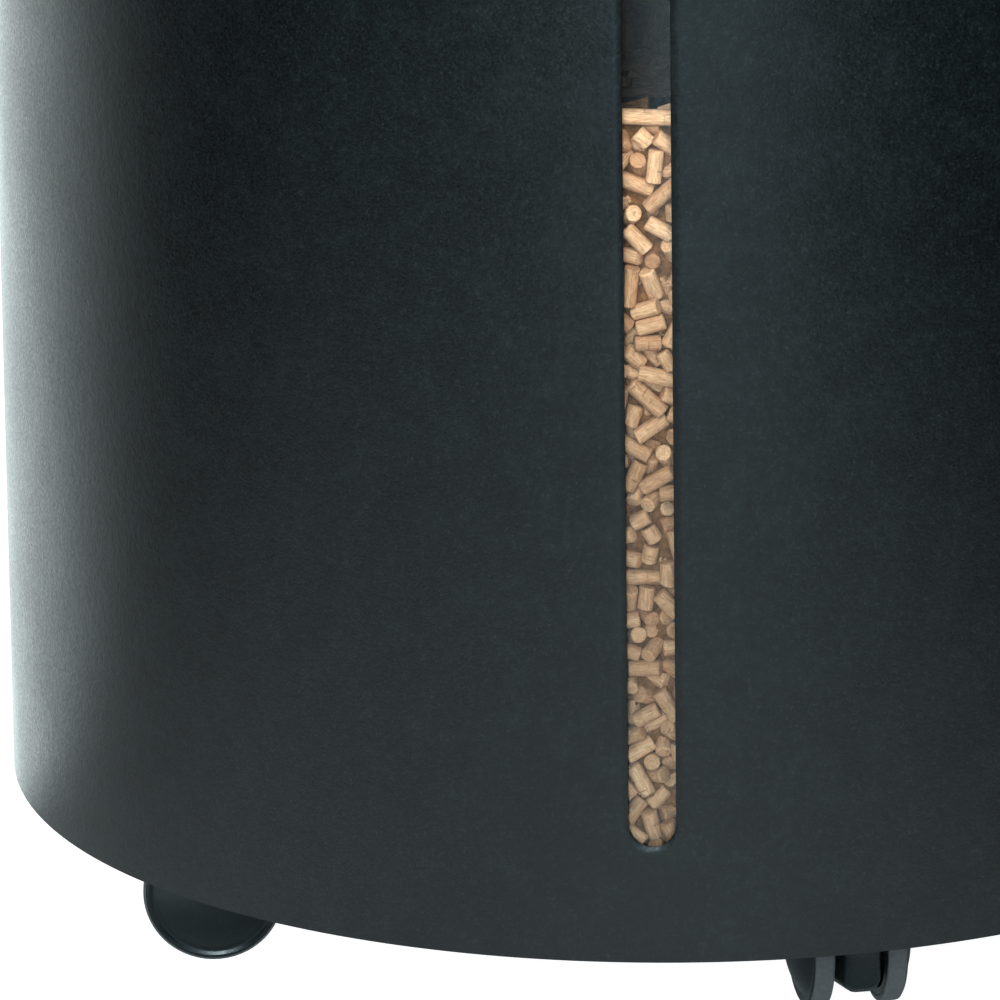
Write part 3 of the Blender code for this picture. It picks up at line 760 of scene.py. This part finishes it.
def knob_pieces():
    low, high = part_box("lid_knob")
    radius, foot, top = high.x, low.z, high.z
    neck, bore, bore_depth = 0.0085, 0.0033, 0.014
    knob = [
        ((0, top), 0),
        ((radius - 0.0035, top), 0.003),
        ((radius, top - 0.0045), 0.003),
        ((radius, top - 0.011), 0.0018),
        ((neck, top - 0.017), 0.003),
        ((neck, foot + 0.003), 0.002),
        ((neck + 0.003, foot), 0.0004),
        ((bore, foot), 0.0003),
        ((bore, foot + bore_depth), 0.0003),
        ((0, foot + bore_depth), 0),
    ]
    knob = lathe("lid_knob_turned", rounded_outline(knob, 5, closed=False), SATIN)
    settle(knob, "lid", "satin_steel", "lid_knob")

    washer = rounded(ring_section(*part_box("knob_washer"), bore), 0.0003, 2)
    washer = lathe("knob_washer_stamped", washer, ZINC, closed=True)
    settle(washer, "lid", "zinc_steel", "knob_washer")

    low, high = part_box("knob_screw")
    head, foot, thread, socket = high.x, low.z, 0.0030, 0.0024
    head_top = foot + 0.0038
    screw = [
        ((0, high.z), 0),
        ((thread - 0.0004, high.z), 0.0002),
        ((thread, high.z - 0.0006), 0.0002),
        ((thread, head_top), 0.0002),
        ((head, head_top), 0.0003),
        ((head, foot + 0.0012), 0.001),
        ((head - 0.0014, foot), 0.001),
        ((0.0022, foot), 0.0003),
        ((0.0020, foot + socket), 0.0003),
        ((0, foot + socket), 0),
    ]
    screw = lathe("knob_screw_turned", rounded_outline(screw, 3, closed=False), ZINC, 32)
    settle(screw, "lid", "zinc_steel", "knob_screw")


# Pellets.


def relax(places, axes, lengths, keep_in, rounds):
    """Pushes overlapping pellets apart and back inside, each taken as a row of balls.

    The first pellet stays put.
    """
    balls = 5
    reach = np.maximum(lengths / 2 - PELLET_RADIUS * 0.8, 0.0005)
    shares = np.linspace(-1, 1, balls)
    owner = np.repeat(np.arange(len(places)), balls)
    offsets = (reach[:, None] * shares[None, :]).reshape(-1)
    spread = np.zeros(len(places))
    np.add.at(spread, owner, offsets**2)
    gap = 2 * PELLET_RADIUS
    pinned = places[0].copy(), axes[0].copy()
    for turn in range(rounds):
        at = places[owner] + axes[owner] * offsets[:, None]
        if turn % 6 == 0:
            pairs = near_pairs(at, owner, gap * 1.5)
        a, b = pairs
        away = at[a] - at[b]
        apart = np.linalg.norm(away, axis=1) + 1e-9
        deep = np.maximum(gap - apart, 0.0)
        push = away / apart[:, None] * (deep * 0.5)[:, None]
        force = np.zeros_like(at)
        np.add.at(force, a, push)
        np.add.at(force, b, -push)
        force += keep_in(at)
        shift = np.zeros_like(places)
        np.add.at(shift, owner, force)
        places += shift / balls * 1.5
        turning = np.zeros_like(places)
        np.add.at(turning, owner, force * offsets[:, None])
        axes += turning / spread[:, None] * 0.8
        axes /= np.linalg.norm(axes, axis=1)[:, None]
        places[0], axes[0] = pinned
    return places, axes


def near_pairs(at, owner, reach):
    """Index pairs of balls of different pellets that are closer than this, from a grid of cells."""
    cells = {}
    keys = np.floor(at / reach).astype(int)
    for i, key in enumerate(map(tuple, keys)):
        cells.setdefault(key, []).append(i)
    around = [(x, y, z) for x in (-1, 0, 1) for y in (-1, 0, 1) for z in (-1, 0, 1)]
    first, second = [], []
    for key, members in cells.items():
        near = [j for step in around for j in cells.get(tuple(map(sum, zip(key, step))), ())]
        for i in members:
            others = [j for j in near if j > i]
            first += [i] * len(others)
            second += others
    first, second = np.array(first), np.array(second)
    keep = owner[first] != owner[second]
    first, second = first[keep], second[keep]
    close = np.linalg.norm(at[first] - at[second], axis=1) < reach
    return first[close], second[close]


def pellet_mesh(name, places, axes, lengths, sides, rng, finish):
    """One mesh of chamfered, slightly uneven rods, which stores each pellet's tone and own coordinates."""
    turns = 2 * pi * np.arange(sides) / sides
    ring = np.stack([np.cos(turns), np.sin(turns)], axis=1)
    chamfer, end_size = 0.0004, 0.84
    vertices, faces, grain, tones = [], [], [], []
    for place, axis, length in zip(places, axes, lengths):
        own_axes = np.array(Vector(axis).to_track_quat("Z", "Y").to_matrix())
        half = length / 2
        slant = rng.normal(0, 0.10, 2)
        size = PELLET_RADIUS * rng.normal(1.0, 0.012)
        levels = ((-half, end_size), (chamfer - half, 1.0), (half - chamfer, 1.0), (half, end_size))
        base = len(vertices)
        offset = rng.random(3) * 5
        tone = float(np.clip(rng.normal(0.5, 0.24), 0, 1))
        for z, scale in levels:
            tilt = slant[0 if z < 0 else 1] * ring[:, 0] * size
            rough = 1 + rng.normal(0, 0.035 if scale < 1 else 0.008, sides)
            local = np.column_stack([ring * (size * scale * rough)[:, None], z + tilt])
            vertices.extend(map(tuple, place + local @ own_axes.T))
            grain.extend(map(tuple, local + offset))
            tones.extend([tone] * sides)
        last = len(vertices) - sides
        for start in range(base, last, sides):
            for k in range(sides):
                n = (k + 1) % sides
                faces.append((start + k, start + n, start + sides + n, start + sides + k))
        faces.append(tuple(reversed(range(base, base + sides))))
        faces.append(tuple(range(last, last + sides)))
    obj = mesh_object(name, vertices, faces, finish)
    stored = obj.data.attributes
    grain_place = stored.new("grain_place", "FLOAT_VECTOR", "POINT")
    grain_place.data.foreach_set("vector", np.array(grain, np.float32).ravel())
    pellet_tone = stored.new("pellet_tone", "FLOAT", "POINT")
    pellet_tone.data.foreach_set("value", np.array(tones, np.float32))
    obj.data.set_sharp_from_angle(angle=radians(40))
    return obj


def window_pellets(inner, level):
    """The pellets that lie against the window, close packed at random."""
    rng = np.random.default_rng(11)
    volume = 2 * HEAP_HALF_WIDTH * (inner + HEAP_BACK) * (level - HEAP_BOTTOM)
    packing = 0.64
    count = int(packing * volume / (pi * PELLET_RADIUS**2 * PELLET_LENGTH))
    lengths = np.clip(rng.normal(PELLET_LENGTH, 0.0036, count), 0.0055, 0.019)
    places = np.column_stack(
        [
            rng.uniform(-HEAP_HALF_WIDTH, HEAP_HALF_WIDTH, count),
            rng.uniform(-inner + 0.003, HEAP_BACK, count),
            rng.uniform(HEAP_BOTTOM, level, count),
        ]
    )
    axes = rng.normal(0, 1, (count, 3)) * (1.0, 0.65, 0.95)
    axes /= np.linalg.norm(axes, axis=1)[:, None]
    lengths[0] = 0.0205
    places[0] = (0.0002, PELLET_RADIUS + 0.0003 - inner, level - PELLET_RADIUS)
    axes[0] = (1.0, 0.0, -0.03)

    def keep_in(at):
        force = np.zeros_like(at)
        across = np.hypot(at[:, 0], at[:, 1])
        wall = np.where(np.abs(at[:, 0]) < CHANNEL_LIP_EDGE, inner, LIP_INNER_RADIUS) - PELLET_RADIUS
        over = np.maximum(across - wall, 0.0)
        force[:, :2] -= at[:, :2] / across[:, None] * over[:, None]
        force[:, 0] -= np.sign(at[:, 0]) * np.maximum(np.abs(at[:, 0]) - HEAP_HALF_WIDTH, 0.0)
        force[:, 1] -= np.maximum(at[:, 1] - HEAP_BACK, 0.0)
        ceiling = level - 0.0022 - 0.3 * (inner - across) - PELLET_RADIUS
        force[:, 2] -= np.maximum(at[:, 2] - ceiling, 0.0)
        force[:, 2] += np.maximum(HEAP_BOTTOM - at[:, 2], 0.0)
        return force

    places, axes = relax(places, axes, lengths, keep_in, 260)
    pellets = pellet_mesh("window_pellets", places, axes, lengths, 14, rng, WOOD)
    settle(pellets, "bin", "wood_pellets", "pellet_fill")
    fines_between(inner, level, rng)


def fines_between(inner, level, rng):
    """Crumbs and wood dust that fill the gaps between the pellets at the window, as one uneven skin."""
    columns, rows, coarseness = 30, 336, 8
    half = CHANNEL_LIP_EDGE - 0.0004
    bottom, top = HEAP_BOTTOM, level - 0.0035
    ripple = rng.normal(0, 1, (rows + 1, columns + 1))
    coarse = rng.normal(0, 1, (rows // coarseness + 2, columns // coarseness + 2))
    vertices = []
    for k in range(rows + 1):
        for i in range(columns + 1):
            (a, up), (b, along) = divmod(k / coarseness, 1), divmod(i / coarseness, 1)
            a, b = int(a), int(b)
            soft = (coarse[a, b] * (1 - along) + coarse[a, b + 1] * along) * (1 - up)
            soft += (coarse[a + 1, b] * (1 - along) + coarse[a + 1, b + 1] * along) * up
            depth = np.clip(FINES_DEPTH + 0.0010 * soft + 0.00022 * ripple[k, i], 0.0020, 0.0075)
            x = half * (2 * i / columns - 1)
            reach = inner - depth
            vertices.append((x, -math.sqrt(reach * reach - x * x), bottom + (top - bottom) * k / rows))
    # The skin's brown is darkened as painted shade in the gaps.
    fines = mesh_object("window_fines", vertices, grid_faces(columns, rows), BED)
    thicken(fines, 0.003)
    settle(fines, "bin", "wood_pellets", "pellet_fill")


def surface_height(from_axis, level, wall):
    """Height of the heap's scooped surface."""
    share = (from_axis - HEAP_PIT_RADIUS) / (wall - HEAP_WALL_GAP - HEAP_PIT_RADIUS)
    return level - HEAP_PIT_DEPTH * (1 - np.clip(share, 0, 1))


def heap_bed(wall, floor, level, rng):
    """The body of the fill under its loose top layer, cut flat behind the window's own pellets."""
    drop, foot_rise, foot_radius = 0.0045, 0.002, PAN_MIDDLE_RADIUS
    profile = [(r, float(surface_height(r, level, wall)) - drop) for r in np.linspace(0, wall, 40)]
    profile += [(wall, floor + foot_rise), (foot_radius, floor + foot_rise)]
    profile += [(foot_radius - 0.0005, floor), (0, floor)]
    vertices, faces = lathe_faces(profile, 96)
    moved = []
    for x, y, z in vertices:
        if z > level - 0.080 and math.hypot(x, y) < wall - 0.001:
            z += 0.0016 * rng.standard_normal()
        moved.append((x, max(y, HEAP_BACK + 0.0005), z))
    # The bed's dark brown is painted shade for the pellets buried in the fill.
    bed = mesh_object("pellet_bed", moved, faces, BED)
    settle(bed, "bin", "wood_pellets", "pellet_fill")


def heap_top(wall, level, rng):
    """Loose pellets that lie on the scooped surface, except where the window's own pellets are."""
    count = 2300
    angle = rng.uniform(0, 2 * pi, count)
    radius = np.sqrt(rng.uniform(0, 1, count)) * (wall - 0.005)
    x, y = radius * np.cos(angle), radius * np.sin(angle)
    z = surface_height(radius, level, wall) - 0.0032 + rng.uniform(-0.0018, 0.0012, count)
    keep = ~((np.abs(x) < HEAP_HALF_WIDTH + 0.006) & (y < HEAP_BACK + 0.008))
    x, y, z, angle, radius = x[keep], y[keep], z[keep], angle[keep], radius[keep]
    steepness = HEAP_PIT_DEPTH / (wall - HEAP_WALL_GAP - HEAP_PIT_RADIUS)
    slope = np.where(radius > HEAP_PIT_RADIUS, steepness, 0.0)
    heading = rng.uniform(0, 2 * pi, len(x))
    axes = np.column_stack([np.cos(heading), np.sin(heading), np.zeros(len(x))])
    outward = np.column_stack([np.cos(angle), np.sin(angle), np.zeros(len(x))])
    axes[:, 2] = slope * (axes * outward).sum(1) + rng.normal(0, 0.16, len(x))
    axes /= np.linalg.norm(axes, axis=1)[:, None]
    lengths = np.clip(rng.normal(0.0140, 0.0045, len(x)), 0.006, 0.026)
    reach = lengths / 2 * np.hypot(axes[:, 0], axes[:, 1]) + PELLET_RADIUS
    limit = np.minimum(1.0, (wall - 0.0005 - reach) / np.maximum(radius, 1e-6))
    places = np.column_stack([x * limit, y * limit, z])
    # Their finish is the wood darkened as painted shade.
    surface = pellet_mesh("heap_pellets", places, axes, lengths, 8, rng, HEAP_WOOD_PAINTED_SHADE)
    settle(surface, "bin", "wood_pellets", "pellet_fill")


def fill_pieces():
    """Everything that stands for the fill: its body, its loose top and what shows in the window."""
    low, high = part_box("pellet_fill")
    wall, level = high.x, high.z
    rng = np.random.default_rng(3)
    heap_bed(wall, low.z, level, rng)
    heap_top(wall, level, rng)
    strip_inner = -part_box("window_strip")[0].y - STRIP_THICKNESS
    window_pellets(strip_inner - 0.0001, level - WINDOW_LEVEL_DROP)


# Castors.


def wheel_parts(prefix, side, radius):
    """One wheel's core and tread, turned about Z with the domed side up."""
    face, shoulder, apex = WHEEL_FACE, WHEEL_FACE + WHEEL_WIDTH, WHEEL_FACE + WHEEL_DEPTH
    seat = radius - TREAD_THICKNESS
    dome_edge, recess = 0.845 * radius, apex - 0.0027
    dome = [((dome_edge * u, apex - DOME_DROP * u**3), 0) for u in np.linspace(0, 1, 17)[:-1]]
    core = [
        *dome,
        ((dome_edge, apex - DOME_DROP), 0.0030),
        ((0.925 * radius, apex - LIP_DROP), 0.0010),
        ((0.950 * radius, shoulder + 0.0006), 0.0004),
        ((0.956 * radius, shoulder - 0.0001), 0.0002),
        ((seat, shoulder - 0.0001), 0.0001),
        ((seat, face), 0.0004),
        ((seat - 0.0026, face), 0.0004),
        ((seat - 0.0026, shoulder - 0.0016), 0.001),
        ((HUB_RADIUS, shoulder + 0.0012), 0.001),
        ((HUB_RADIUS, face), 0.0004),
        ((AXLE_HOLE_RADIUS, face), 0.0003),
        ((AXLE_HOLE_RADIUS, recess), 0.0003),
        ((0, recess), 0),
    ]
    core = rounded_outline(core, 4, closed=False, hold=0.2)
    core = lathe(f"{prefix}wheel_{side}_moulded", core, NYLON, WHEEL_STEPS)
    tread_seat = seat + 0.0001
    tread = [
        ((tread_seat, shoulder - 0.0002), 0.0002),
        ((0.957 * radius, shoulder - 0.0002), 0),
        ((0.958 * radius, shoulder + 0.0002), 0.0001),
        ((radius - 0.0002, shoulder), 0.0009),
        ((radius, shoulder - 0.0014), 0.0012),
        ((radius, face + 0.0010), 0.0009),
        ((radius - 0.0003, face), 0.0004),
        ((tread_seat, face), 0.0003),
    ]
    tread = lathe(f"{prefix}tread_{side}_moulded", rounded_outline(tread, 4), TREAD, WHEEL_STEPS, closed=True)
    return core, tread


def housing_piece(prefix, castor, trail, axle_height, top):
    """The swivelling body: a web between the wheels, a hood over them and a collar for the stem."""
    axle = (trail, axle_height)
    stand = Matrix.Rotation(pi / 2, 4, "X")
    web = [
        (-0.0085, 0.0520),
        *arc(axle, 0.0273, radians(112), radians(30), 14),
        *arc(axle, 0.018, radians(-15), radians(-105), 10),
        (-0.0050, 0.0115),
        (-0.0085, 0.0150),
    ]
    web = slab("web", web[::-1], WEB_WIDTH, NYLON)
    web.matrix_world = stand
    bevel(web, HOUSING_CORNER, 4, 60)
    over, under = radians(30), radians(146)
    hood = arc(axle, HOOD_OUTER_RADIUS, over, under, 40) + arc(axle, HOOD_INNER_RADIUS, under, over, 40)
    hood = slab("hood", hood, HOOD_WIDTH, NYLON)
    hood.matrix_world = stand
    bevel(hood, 0.0006, 3, 40)
    collar_radius, collar_foot = 0.0110, 0.0490
    collar = [(0, top), (collar_radius, top), (collar_radius, collar_foot), (0, collar_foot)]
    collar = lathe("collar", rounded(collar, [0, 0.0009, 0.0012, 0], 4, closed=False), NYLON)
    parts = [web, hood, collar]
    for side in (-1, 1):
        gusset = [(-0.0075, 0.0535), (0.0055, 0.0535), (0.0030, 0.0440), (-0.0060, 0.0400)]
        gusset = slab("gusset", gusset, 0.0016, NYLON)
        gusset.matrix_world = Matrix.Translation((0, side * 0.0082, 0)) @ stand
        parts.append(gusset)
    body = joined(prefix + "housing_moulded", parts)
    body.matrix_world = castor
    return body


def stem_piece(prefix, place):
    """The threaded stem, with a flange between the housing and the pan."""
    low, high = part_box(prefix + "stem")
    flange = (high.x - low.x) / 2
    flange_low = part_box(prefix + "housing")[1].z + 0.0003
    flange_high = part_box("base_pan")[0].z + 0.0017
    stem = [
        ((0, high.z), 0),
        ((SHANK_RADIUS, high.z), 0.0006),
        ((SHANK_RADIUS, flange_high), 0.0002),
        ((flange, flange_high), 0.0003),
        ((flange, flange_low), 0.0003),
        ((SHANK_RADIUS, flange_low), 0.0002),
        ((SHANK_RADIUS, low.z), 0.0006),
        ((0, low.z), 0),
    ]
    stem = lathe(prefix + "stem_turned", rounded_outline(stem, 2, closed=False), ZINC, 48)
    stem.location = (place.x, place.y, 0)
    settle(stem, "bin", "zinc_steel", prefix + "stem")


def castor_pieces():
    """The four castors, each at its stem and turned towards its wheels."""
    joints = {joint["name"]: joint for joint in frame["joints"]}
    for name in ("front", "left", "rear", "right"):
        prefix = name + "_castor_"
        stem = Vector(joints[prefix + "swivel"]["pos_m"])
        hub = Vector(joints[prefix + "left_wheel_spin"]["pos_m"])
        trail = (hub - stem).to_2d()
        heading = math.atan2(trail.y, trail.x)
        castor = Matrix.Translation((stem.x, stem.y, 0)) @ Matrix.Rotation(heading, 4, "Z")
        housing_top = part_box(prefix + "housing")[1].z
        body = housing_piece(prefix, castor, trail.length, hub.z, housing_top)
        settle(body, prefix + "swivel", "black_nylon", prefix + "housing")
        at_axle = castor @ Matrix.Translation((trail.length, 0, hub.z))
        for side, turn in (("left", -pi / 2), ("right", pi / 2)):
            core, tread = wheel_parts(prefix, side, hub.z)
            for piece, slot, node in ((core, "black_nylon", "wheel_"), (tread, "grey_tread", "tread_")):
                piece.matrix_world = at_axle @ Matrix.Rotation(turn, 4, "X")
                settle(piece, f"{prefix}{side}_wheel", slot, prefix + node + side)
        stem_piece(prefix, stem)
        for node, width in (("axle", 0.0002), ("washer", 0.0002), ("nut", 0.0004)):
            repaint(prefix + node, width)


# Studio.


def add_floor():
    """A wide pale floor that the bin doesn't mirror, and two round patches that only the bin mirrors, with
    painted light and shadow in their glow.
    """
    reach = FLOOR_REACH
    corners = [(-reach, -reach, 0), (reach, -reach, 0), (reach, reach, 0), (-reach, reach, 0)]
    floor = mesh_object("floor", corners, [(0, 1, 2, 3)], floor_paint("floor_finish", 0.50, WHITE, 0.88))
    floor.location.z = -FLOOR_DROP
    floor.visible_glossy = False
    for name, radius, place, stretch, grey, glow, change in FLOOR_PATCHES:
        vertices, faces = lathe_faces([(0, 0), (radius, 0)], 96)
        paint = floor_paint(name + "_finish", grey, PATCH_TINT, glow, change)
        patch = mesh_object(name, vertices, faces, paint)
        patch.location = place
        patch.scale.x = stretch
        patch.visible_camera = patch.visible_diffuse = patch.visible_shadow = False


def add_lights():
    for name, place, aim, size, watts, colour, mirrored in LIGHTS:
        light = bpy.data.lights.new(name, "AREA")
        light.shape = "RECTANGLE"
        light.size, light.size_y = size
        light.energy = watts
        light.color = colour
        obj = linked(name, light)
        obj.location = place
        obj.rotation_mode = "QUATERNION"
        obj.rotation_quaternion = (Vector(aim) - Vector(place)).to_track_quat("-Z", "Y")
        obj.visible_camera = False
        obj.visible_glossy = mirrored


def add_world():
    """A white studio, as the bin mirrors it: bright behind and overhead, dark to the sides, soft in front."""
    world = bpy.data.worlds.new("studio")
    bpy.context.scene.world = world
    world.use_nodes = True
    sky = Nodes(world.node_tree)
    direction = sky.node("TexCoord").outputs["Generated"]
    flat = sky.vector_maths("NORMALIZE", sky.vector_maths("MULTIPLY", direction, (1.0, 1.0, 0.0)))
    front = (sin(FRONT_GLOW_TURN), -cos(FRONT_GLOW_TURN), 0.0)
    facing = sky.vector_maths("DOT_PRODUCT", flat, front, output="Value")
    height = sky.node("SeparateXYZ", Vector=direction).outputs["Z"]
    in_front = sky.ramp(facing, 0.955, 1.0, 0.0, FRONT_GLOW, "SMOOTHSTEP")
    behind = sky.ramp(facing, -0.32, -0.97, 0.0, BACK_GLOW)
    overhead = sky.ramp(height, 0.30, 0.95, 0.0, TOP_GLOW, "SMOOTHSTEP")
    mirrored = sky.maths("MAXIMUM", sky.maths("ADD", in_front, behind), overhead)
    tint = sky.mix(sky.ramp(facing, 0.0, 0.6, interpolation="SMOOTHSTEP"), BACK_TINT, FRONT_TINT)
    rays = sky.node("LightPath").outputs
    unseen = sky.mix(rays["Is Glossy Ray"], AMBIENT, mirrored, "FLOAT")
    unseen_colour = sky.mix(rays["Is Glossy Ray"], WHITE, tint)
    background = world.node_tree.nodes["Background"].inputs
    sky.feed(sky.mix(rays["Is Camera Ray"], unseen, 1.0, "FLOAT"), background["Strength"])
    sky.feed(sky.mix(rays["Is Camera Ray"], unseen_colour, WHITE), background["Color"])


def add_camera():
    """The photo's camera: a long lens that looks down a little and leans a little."""
    level = cos(VIEW_ELEVATION)
    back = Vector((sin(VIEW_TURN) * level, -cos(VIEW_TURN) * level, sin(VIEW_ELEVATION)))
    right = Vector((cos(VIEW_TURN), sin(VIEW_TURN), 0))
    up = back.cross(right)
    across = right * cos(VIEW_ROLL) + up * sin(VIEW_ROLL)
    above = up * cos(VIEW_ROLL) - right * sin(VIEW_ROLL)
    camera = bpy.data.cameras.new("camera")
    camera.lens = VIEW_LENS
    camera.sensor_width = 36
    camera.clip_end = 200
    obj = linked("camera", camera)
    turned = Matrix((across, above, back)).transposed().to_4x4()
    obj.matrix_world = Matrix.Translation(VIEW_AIM + back * VIEW_DISTANCE) @ turned
    bpy.context.scene.camera = obj


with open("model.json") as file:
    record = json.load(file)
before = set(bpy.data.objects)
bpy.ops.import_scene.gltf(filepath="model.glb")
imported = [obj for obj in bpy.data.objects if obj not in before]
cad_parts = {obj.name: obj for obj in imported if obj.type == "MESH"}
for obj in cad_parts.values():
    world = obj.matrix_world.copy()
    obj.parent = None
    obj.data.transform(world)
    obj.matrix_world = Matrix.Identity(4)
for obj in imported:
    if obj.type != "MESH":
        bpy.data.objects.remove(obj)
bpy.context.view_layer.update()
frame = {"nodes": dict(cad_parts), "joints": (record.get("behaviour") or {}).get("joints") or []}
add_camera()

COAT = powder_coat()
NYLON = nylon()
TREAD = tread_rubber()
ZINC = zinc()
SATIN = satin_steel()
FOAM = foam()
CLEAR = clear_sheet()
WOOD = wood("wood_pellet_finish", 1.0)
# The heap's pellets take the same wood at 0.85: painted shade for the heap inside the drum.
HEAP_WOOD_PAINTED_SHADE = wood("heap_pellet_painted_shade_finish", 0.85)
BED = pellet_bed()

drum_pieces()
pan_piece()
window_pieces()
fill_pieces()
lid_pieces()
castor_pieces()
add_floor()
add_world()
add_lights()

look = bpy.context.scene.view_settings
look.view_transform = "Standard"
look.look = "None"
look.gamma = 0.80
look.exposure = 0.15
